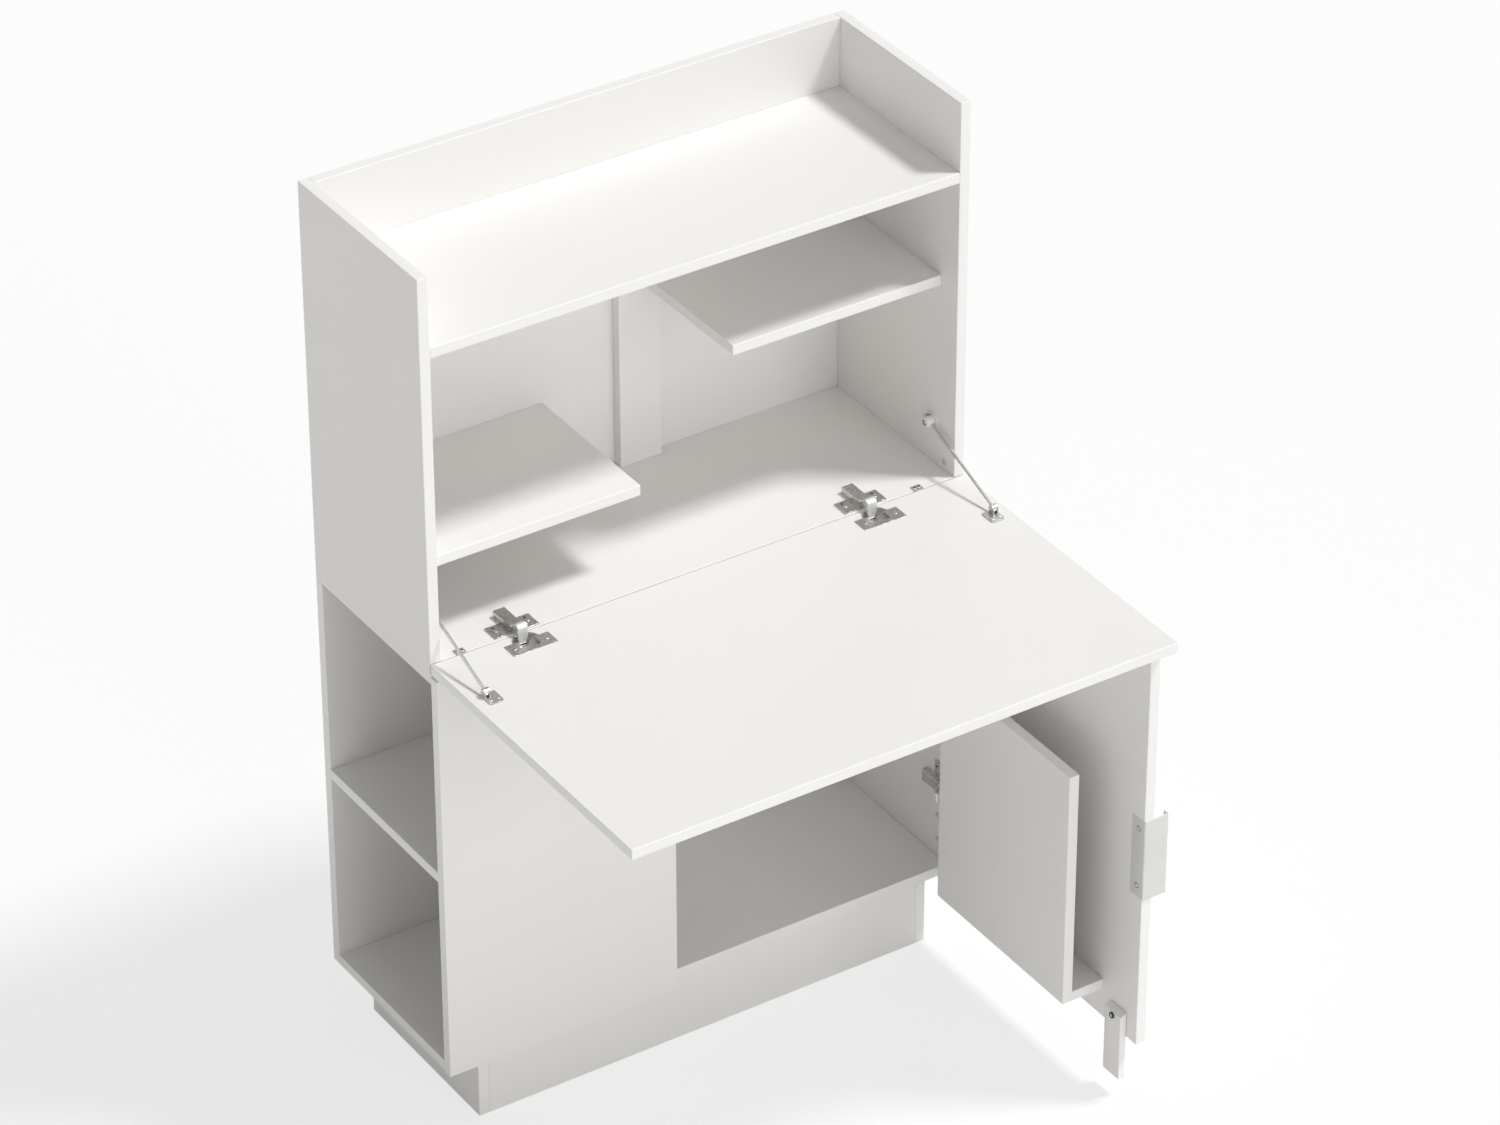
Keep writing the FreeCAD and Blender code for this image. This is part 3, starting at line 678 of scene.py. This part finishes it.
def lathe(profile, facets):
    """A closed shape turned about Z from a profile of radius and height that starts and ends on the axis."""
    mesh = bmesh.new()
    rings = []
    for radius, height in profile:
        count = facets if radius > WELD else 1
        ring = []
        for step in range(count):
            turn = math.tau * step / facets
            ring.append(mesh.verts.new((radius * math.cos(turn), radius * math.sin(turn), height)))
        rings.append(ring)
    for below, above in zip(rings, rings[1:]):
        for step in range(facets):
            ahead = step + 1
            corners = (below[step % len(below)], below[ahead % len(below)], above[ahead % len(above)],
                       above[step % len(above)])
            mesh.faces.new(list(dict.fromkeys(corners)))
    return mesh


def disc(radius, low, high, facets):
    return lathe([(0.0, low), (radius, low), (radius, high), (0.0, high)], facets)


def scaled(outline, radius, height):
    return [(across * radius, rise * height) for across, rise in outline]


def threaded(place):
    """The lower half of a screw's profile: its point, its thread and the underside of its head."""
    shank = place.shank
    tip = -place.length
    pitch = 0.75 * shank
    core = 0.74 * shank
    unthreaded = 3.0 * shank
    start = tip + 1.4 * shank
    profile = [(0.0, tip), (0.5 * core, tip + shank)]
    for turn in range(int((place.length - unthreaded) / pitch)):
        low = start + turn * pitch
        profile += [(core, low), (shank, low + 0.5 * pitch)]
    neck = [(core, -1.2 * shank), (shank, -0.9 * shank), (shank, 0.0)]
    return profile + neck


def slot_outline(length, width):
    x, y = length / 2, width / 2
    return [(-x, -y), (x, -y), (x, y), (-x, y)]


def cross_outline(length, width):
    far, near = length / 2, width / 2
    arm = [(near, -near), (far, -near), (far, near)]
    outline = []
    for quarter in range(4):
        outline += arm
        arm = [(-y, x) for x, y in arm]
    return outline


def recess(outline, depth, top):
    """A recess's cutter, which narrows downwards and carries the second material, painted shade, onto the
    recess's walls.
    """
    mesh = bmesh.new()
    lower = [mesh.verts.new((RECESS_TAPER * x, RECESS_TAPER * y, top - depth)) for x, y in outline]
    upper = [mesh.verts.new((x, y, top + depth)) for x, y in outline]
    mesh.faces.new(lower[::-1])
    mesh.faces.new(upper)
    for number in range(len(outline)):
        mesh.faces.new((lower[number - 1], lower[number], upper[number], upper[number - 1]))
    # The cut faces take painted shade
    for face in mesh.faces:
        face.material_index = 1
    return mesh


def darken(mesh, inner, outer, top):
    """Gives the second material, painted shade, to a head's faces between two radii, above its seat and below
    a top.
    """
    for face in mesh.faces:
        middle = face.calc_center_median()
        if inner < math.hypot(middle.x, middle.y) < outer and 0.0 < middle.z < top:
            face.material_index = 1


def pan_head(place, facets):
    """A low domed head with a cross recess, on a rim of painted shade."""
    radius, height = place.head, place.height
    mesh = lathe(threaded(place) + scaled(PAN_HEAD, radius, height), facets)
    darken(mesh, 0.84 * radius, math.inf, 0.2 * height)
    return mesh, recess(cross_outline(0.95 * radius, 0.22 * radius), 0.75 * height, height)


def flush_head(place, facets):
    """A flat head let in flush, with a cross recess."""
    radius, height = place.head, place.height
    mesh = lathe(threaded(place) + scaled(FLUSH_HEAD, radius, height), facets)
    return mesh, recess(cross_outline(1.1 * radius, 0.22 * radius), 0.8 * height, height)


def ringed_head(place, facets):
    """A domed, slotted head on a ring of painted shade that stands for a countersink."""
    radius, height = place.head, place.height
    mesh = lathe(threaded(place) + scaled(RINGED_HEAD, radius, height), facets)
    darken(mesh, 0.85 * radius, math.inf, 0.2 * height)
    return mesh, recess(slot_outline(0.9 * radius, 0.14 * radius), 0.5 * height, height)


def bolt_head(place, facets):
    """A head whose rim is painted dark as shade and whose sunk, slotted centre is bright."""
    radius, height = place.head, place.height
    mesh = lathe(threaded(place) + scaled(BOLT_HEAD, radius, height), facets)
    darken(mesh, 0.57 * radius, math.inf, math.inf)
    return mesh, recess(slot_outline(0.8 * radius, 0.14 * radius), 0.35 * height, 0.75 * height)


def socket_head(place, facets):
    """A small head with a round socket painted dark as shade, which needs no cutter."""
    radius, height = SOCKET_HEAD_SHARE * place.head, place.height
    mesh = lathe(threaded(place) + scaled(SOCKET_HEAD, radius, height), facets)
    darken(mesh, 0.0, 0.6 * radius, 0.9 * height)
    return mesh, None


def build_screws(name, head, settings, materials):
    """All screws of a node, each turned a little further than the last."""
    mesh = bmesh.new()
    cutters = bmesh.new()
    for number, place in enumerate(screw_places(name)):
        spin = Matrix.Rotation(math.radians(FIRST_TURN + NEXT_TURN * number), 4, "Z")
        where = standing(place.seat, place.outward) @ spin
        body, cutter = head(place, settings.facets)
        join(mesh, body, where)
        if cutter:
            join(cutters, cutter, where)
    if cutters.verts:
        carve(mesh, cutters)
    else:
        cutters.free()
    show(shaded(mesh, name + "_turned", materials), name)


def on_rim(edge, low, high):
    """Whether an edge runs along one of the twelve edges of its board's box."""
    planes = 0
    for axis in range(3):
        for limit in (low[axis], high[axis]):
            if all(abs(vert.co[axis] - limit) < FLUSH for vert in edge.verts):
                planes += 1
    return planes >= 2


def build_board(name, settings, materials):
    """A board with eased outer edges. Its two wide faces and its rim take different finishes."""
    mesh = welded(name)
    low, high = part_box(name)
    spans = high - low
    thin = min(range(3), key=lambda axis: spans[axis])
    rim = [edge for edge in sharp_edges(mesh, BOARD_CORNER) if on_rim(edge, low, high)]
    ease(mesh, rim, settings.easing, settings.steps, clamp=False)
    for face in mesh.faces:
        face.normal_update()
        face.material_index = 0 if abs(face.normal[thin]) > ALONG else 1
    show(shaded(mesh, name + "_faced", materials), name)


def build_fitting(name, settings, materials):
    """A fitting with all its sharp edges eased."""
    mesh = welded(name)
    ease_fitting(mesh, settings)
    show(shaded(mesh, name + "_eased", materials), name)


def back_edges(mesh, outward, shortest):
    """The long edges that run front to back on the side of the arms that faces away from the board."""
    heights = {}
    for edge in sharp_edges(mesh, FITTING_CORNER):
        if edge.is_convex and runs_along(edge, 1) and edge.calc_length() > shortest:
            heights[edge] = outward.dot(edge.verts[0].co + edge.verts[1].co)
    middle = sum(heights.values()) / len(heights)
    return [edge for edge, height in heights.items() if height > middle]


def build_hinge_arms(owner, settings, materials):
    """The hinges' arms, rounded along their backs, with a painted highlight: a lighter copy of the nickel on
    the bridge over the seam.
    """
    name = owner + "_hinge_arms"
    mesh = welded(name)
    outward = screw_places(owner + "_plate_screws")[0].outward
    ease(mesh, back_edges(mesh, outward, settings.arm_edge), settings.arm_rounding, ARM_STEPS)
    ease_fitting(mesh, settings)
    # Faces in front of the bridge's end take the lighter nickel, a painted highlight
    for face in mesh.faces:
        face.material_index = 1 if face.calc_center_median().y < settings.bridge_end else 0
    show(shaded(mesh, name + "_bridged", materials), name)


def build_hinge_plates(owner, settings, materials):
    """The hinges' plates, with an open hole behind the screw in each wing and a dark disc of painted shade
    sunk in it.
    """
    name = owner + "_hinge_plates"
    mesh = welded(name)
    ease_fitting(mesh, settings)
    hole = settings.spare_hole
    bottom = -settings.spare_hole_depth
    cutters = bmesh.new()
    shade_discs = bmesh.new()
    for place in screw_places(owner + "_plate_screws"):
        # The cutter reaches well past both faces of the wing, and the disc of painted shade fits loosely in
        # the hole
        where = standing(place.seat + BACK * settings.spare_hole_offset, place.outward)
        join(cutters, disc(hole, -4.0 * hole, 2.0 * hole, settings.facets), where)
        floor = disc(0.97 * hole, bottom, bottom + settings.spare_hole_floor, settings.facets)
        for face in floor.faces:
            face.material_index = 1
        join(shade_discs, floor, where)
    carve(mesh, cutters)
    join(mesh, shade_discs)
    show(shaded(mesh, name + "_pierced", materials), name)


def build_swivel(name, settings, materials):
    """A stay's swivel: an eased knob with a slotted screw sunk in its front recess, which is painted dark as
    shade.
    """
    mesh = welded(name)
    low, high = box_of([vert.co for vert in mesh.verts])
    on_right = low.x > 0
    inward = Vector((-1.0 if on_right else 1.0, 0.0, 0.0))
    tip = (low + high) / 2
    tip.x = low.x if on_right else high.x
    # Faces sunk in the front recess take painted shade
    for face in mesh.faces:
        offset = face.calc_center_median() - tip
        sunk = FLUSH < abs(offset.x) < settings.knob_depth
        if sunk and math.hypot(offset.y, offset.z) < settings.knob_recess:
            face.material_index = 1
    ease_fitting(mesh, settings)
    radius, height = settings.knob_screw, settings.knob_screw_height
    screw = lathe(scaled(KNOB_SCREW, radius, height), settings.facets)
    carve(screw, recess(slot_outline(1.4 * radius, 0.3 * radius), 0.6 * height, height))
    where = standing(tip - inward * settings.knob_screw_seat, inward)
    join(mesh, screw, where @ Matrix.Rotation(KNOB_TURN, 4, "Z"))
    show(shaded(mesh, name + "_knob", materials), name)


def build_pull(settings, materials):
    """The folded sheet with rounded folds and eased ends. Its faces that turn to the back, inside the folds,
    are painted dark as shade.
    """
    name = "door_pull"
    mesh = welded(name)
    outer = []
    for edge in sharp_edges(mesh, FOLD_CORNER):
        narrowest = settings.fold_flat * edge.calc_length()
        wide = all(face.calc_area() > narrowest for face in edge.link_faces)
        if runs_along(edge, 2) and wide and edge.is_convex:
            outer.append(edge)
    ease(mesh, outer, settings.fold, FOLD_STEPS, clamp=False)
    ease_fitting(mesh, settings, FOLD_CORNER)
    # Faces turned to the back lie inside the folds and take painted shade
    for face in mesh.faces:
        face.normal_update()
        face.material_index = 1 if face.normal.y > FACING else 0
    show(shaded(mesh, name + "_folded", materials), name)


def build_plugs(settings, materials):
    """The plugs, with the bore in each cap painted dark as shade."""
    name = "hole_plugs"
    centres = []
    for points in solids_of(name):
        low, high = box_of(points)
        centres.append((low + high) / 2)
    mesh = welded(name)
    for face in mesh.faces:
        near = min(centres, key=lambda centre: (face.calc_center_median() - centre).length)
        reach = max(math.hypot(vert.co.y - near.y, vert.co.z - near.z) for vert in face.verts)
        face.material_index = 1 if reach < settings.plug_bore else 0
    ease_fitting(mesh, settings)
    show(shaded(mesh, name + "_capped", materials), name)


def build_cams(settings, materials):
    """The cam housings, each with a cross recess in the face that shows below its board, lined with painted
    shade.
    """
    name = "cam_housings"
    mesh = welded(name)
    ease_fitting(mesh, settings)
    cutters = bmesh.new()
    for number, points in enumerate(solids_of(name)):
        low, high = box_of(points)
        foot = (low + high) / 2
        foot.z = low.z
        spin = Matrix.Rotation(CAM_TURN * number, 4, "Z") @ Matrix.Rotation(math.pi, 4, "X")
        cross = recess(cross_outline(settings.cam_cross, settings.cam_slot), settings.cam_depth, 0.0)
        join(cutters, cross, Matrix.Translation(foot) @ spin)
    carve(mesh, cutters)
    show(shaded(mesh, name + "_slotted", materials), name)


class DESK_OT_boards(Operator):
    """Ease every board's edges and finish its faces and bands"""

    bl_idname = "desk.boards"
    bl_label = "Boards"

    def execute(self, context):
        settings = context.scene.desk_boards
        materials = (laminate(settings), edge_band(settings))
        for name in BOARDS:
            build_board(name, settings, materials)
        return {"FINISHED"}


class DESK_OT_hinges(Operator):
    """Plate the cup hinges of the desktop and the door"""

    bl_idname = "desk.hinges"
    bl_label = "Cup hinges"

    def execute(self, context):
        settings = context.scene.desk_fittings
        nickel = nickel_plate(settings)
        for owner in HINGED:
            build_fitting(owner + "_hinge_cups", settings, (nickel,))
            build_hinge_arms(owner, settings, (nickel, bright_nickel(settings)))
            build_hinge_plates(owner, settings, (nickel, dark_recess(settings)))
            build_fitting(owner + "_hinge_pins", settings, (drawn_steel(settings),))
        return {"FINISHED"}


class DESK_OT_stays(Operator):
    """Finish the stays' rods, swivels, bosses and brackets, and the plates at the fold"""

    bl_idname = "desk.stays"
    bl_label = "Stays"

    def execute(self, context):
        settings = context.scene.desk_fittings
        for side in ("left", "right"):
            build_fitting("stay_rod_" + side, settings, (drawn_steel(settings),))
            build_swivel("stay_swivel_" + side, settings, (satin_knob(settings), dark_recess(settings)))
        build_fitting("stay_bosses", settings, (satin_knob(settings),))
        build_fitting("stay_pins", settings, (drawn_steel(settings),))
        build_fitting("stay_brackets", settings, (zinc_plate(settings),))
        build_fitting("seam_plates", settings, (zinc_plate(settings),))
        return {"FINISHED"}


class DESK_OT_pull(Operator):
    """Round the folds of the pull on the door's free edge and finish it"""

    bl_idname = "desk.pull"
    bl_label = "Pull"

    def execute(self, context):
        settings = context.scene.desk_fittings
        build_pull(settings, (satin_sheet(settings), bare_metal(settings)))
        return {"FINISHED"}


class DESK_OT_screws(Operator):
    """Turn the screws and the foot's bolt, each with its own kind of head"""

    bl_idname = "desk.screws"
    bl_label = "Screws"

    def execute(self, context):
        settings = context.scene.desk_fittings
        materials = (screw_steel(settings), dark_recess(settings))
        for owner in HINGED:
            build_screws(owner + "_cup_screws", pan_head, settings, materials)
            build_screws(owner + "_plate_screws", pan_head, settings, materials)
        build_screws("stay_screws", pan_head, settings, materials)
        build_screws("seam_screws", socket_head, settings, materials)
        build_screws("pull_screws", ringed_head, settings, materials)
        build_screws("foot_bolt", bolt_head, settings, materials)
        build_screws("desk_screws", flush_head, settings, materials)
        build_screws("back_screws", flush_head, settings, materials)
        return {"FINISHED"}


class DESK_OT_fixings(Operator):
    """Finish the plugs in the sides, and the dowels and cams inside the case"""

    bl_idname = "desk.fixings"
    bl_label = "Plugs, dowels and cams"

    def execute(self, context):
        settings = context.scene.desk_fittings
        dark = dark_recess(settings)
        build_plugs(settings, (plug_plastic(settings), dark))
        build_cams(settings, (cast_zinc(settings), dark))
        build_fitting("cam_bolts", settings, (zinc_plate(settings),))
        for name in ("case_dowels", "pocket_dowels"):
            build_fitting(name, settings, (beech(settings),))
        return {"FINISHED"}


def bearing(turn, lift):
    """The direction from the desk towards a bearing and a height. Bearing 0 is in front, 90 degrees right."""
    return Vector((math.sin(turn) * math.cos(lift), -math.cos(turn) * math.cos(lift), math.sin(lift)))


def lay_floor(scene, settings):
    mesh = bmesh.new()
    bmesh.ops.create_grid(mesh, x_segments=1, y_segments=1, size=FLOOR_REACH)
    data = bpy.data.meshes.new("floor")
    mesh.to_mesh(data)
    mesh.free()
    data.materials.append(pale_floor(settings))
    floor = bpy.data.objects.new("floor", data)
    floor.location.z = -FLUSH
    scene.collection.objects.link(floor)


def light_surroundings(scene, settings):
    """Even light all round, which looks white where it is seen or mirrored."""
    world = bpy.data.worlds.new("pale surroundings")
    scene.world = world
    world.use_nodes = True
    tree = world.node_tree
    even = tree.nodes["Background"]
    even.inputs["Color"].default_value = (*settings.fill, 1.0)
    even.inputs["Strength"].default_value = settings.ambient
    white = put(tree, "Background", {"Color": WHITE, "Strength": 1.0})
    mix = put(tree, "MixShader", {"Fac": seen_rays(tree), 1: even.outputs["Background"],
                                  2: white.outputs["Background"]})
    tree.links.new(mix.outputs["Shader"], tree.nodes["World Output"].inputs["Surface"])


def hang_light(scene, name, strength, softness, direction):
    light = bpy.data.lights.new(name, "SUN")
    light.energy = strength
    light.angle = softness
    lamp = bpy.data.objects.new(name, light)
    lamp.rotation_mode = "QUATERNION"
    lamp.rotation_quaternion = direction.to_track_quat("Z", "Y")
    scene.collection.objects.link(lamp)


def stand_camera(scene, settings):
    lens = bpy.data.cameras.new("camera")
    lens.lens = settings.lens
    lens.sensor_width = SENSOR_WIDTH
    lens.clip_end = FARTHEST_VIEW
    camera = bpy.data.objects.new("camera", lens)
    back = bearing(settings.azimuth, settings.elevation)
    right = UP.cross(back).normalized()
    up = back.cross(right)
    across = math.cos(settings.roll) * right + math.sin(settings.roll) * up
    upright = math.cos(settings.roll) * up - math.sin(settings.roll) * right
    turned = Matrix((across, upright, back)).transposed().to_4x4()
    camera.matrix_world = Matrix.Translation(settings.eye) @ turned
    scene.collection.objects.link(camera)
    scene.camera = camera


class DESK_OT_stage(Operator):
    """Lay the floor, light the desk and stand the camera"""

    bl_idname = "desk.stage"
    bl_label = "Stage"

    def execute(self, context):
        scene = context.scene
        scene.view_settings.view_transform = "Standard"
        settings = scene.desk_stage
        lay_floor(scene, settings)
        light_surroundings(scene, settings)
        hang_light(scene, "key", settings.key, settings.key_softness,
                   bearing(settings.key_bearing, settings.key_height))
        hang_light(scene, "front", settings.front, settings.front_softness,
                   bearing(settings.front_bearing, settings.front_height))
        stand_camera(scene, settings)
        return {"FINISHED"}


OPERATORS = (DESK_OT_stage, DESK_OT_boards, DESK_OT_hinges, DESK_OT_stays, DESK_OT_pull, DESK_OT_screws,
             DESK_OT_fixings)


class DESK_PT_sidebar(Panel):
    """Sizes, colours and steps of the desk"""

    bl_label = "Desk"
    bl_idname = "DESK_PT_sidebar"
    bl_space_type = "VIEW_3D"
    bl_region_type = "UI"
    bl_category = "Desk"

    def draw(self, context):
        layout = self.layout
        for settings in (context.scene.desk_stage, context.scene.desk_boards, context.scene.desk_fittings):
            box = layout.box()
            for label in settings.bl_rna.properties.keys():
                if label not in ("rna_type", "name"):
                    box.prop(settings, label)
        for operator in OPERATORS:
            layout.operator(operator.bl_idname)


CLASSES = (BoardSettings, FittingSettings, StageSettings, *OPERATORS, DESK_PT_sidebar)


def register():
    for item in CLASSES:
        bpy.utils.register_class(item)
    bpy.types.Scene.desk_boards = PointerProperty(type=BoardSettings)
    bpy.types.Scene.desk_fittings = PointerProperty(type=FittingSettings)
    bpy.types.Scene.desk_stage = PointerProperty(type=StageSettings)


def unregister():
    del bpy.types.Scene.desk_stage
    del bpy.types.Scene.desk_fittings
    del bpy.types.Scene.desk_boards
    for item in reversed(CLASSES):
        bpy.utils.unregister_class(item)


def main():
    register()
    bpy.ops.desk.stage()
    bpy.ops.desk.boards()
    bpy.ops.desk.hinges()
    bpy.ops.desk.stays()
    bpy.ops.desk.pull()
    bpy.ops.desk.screws()
    bpy.ops.desk.fixings()


if __name__ == "__main__":
    main()
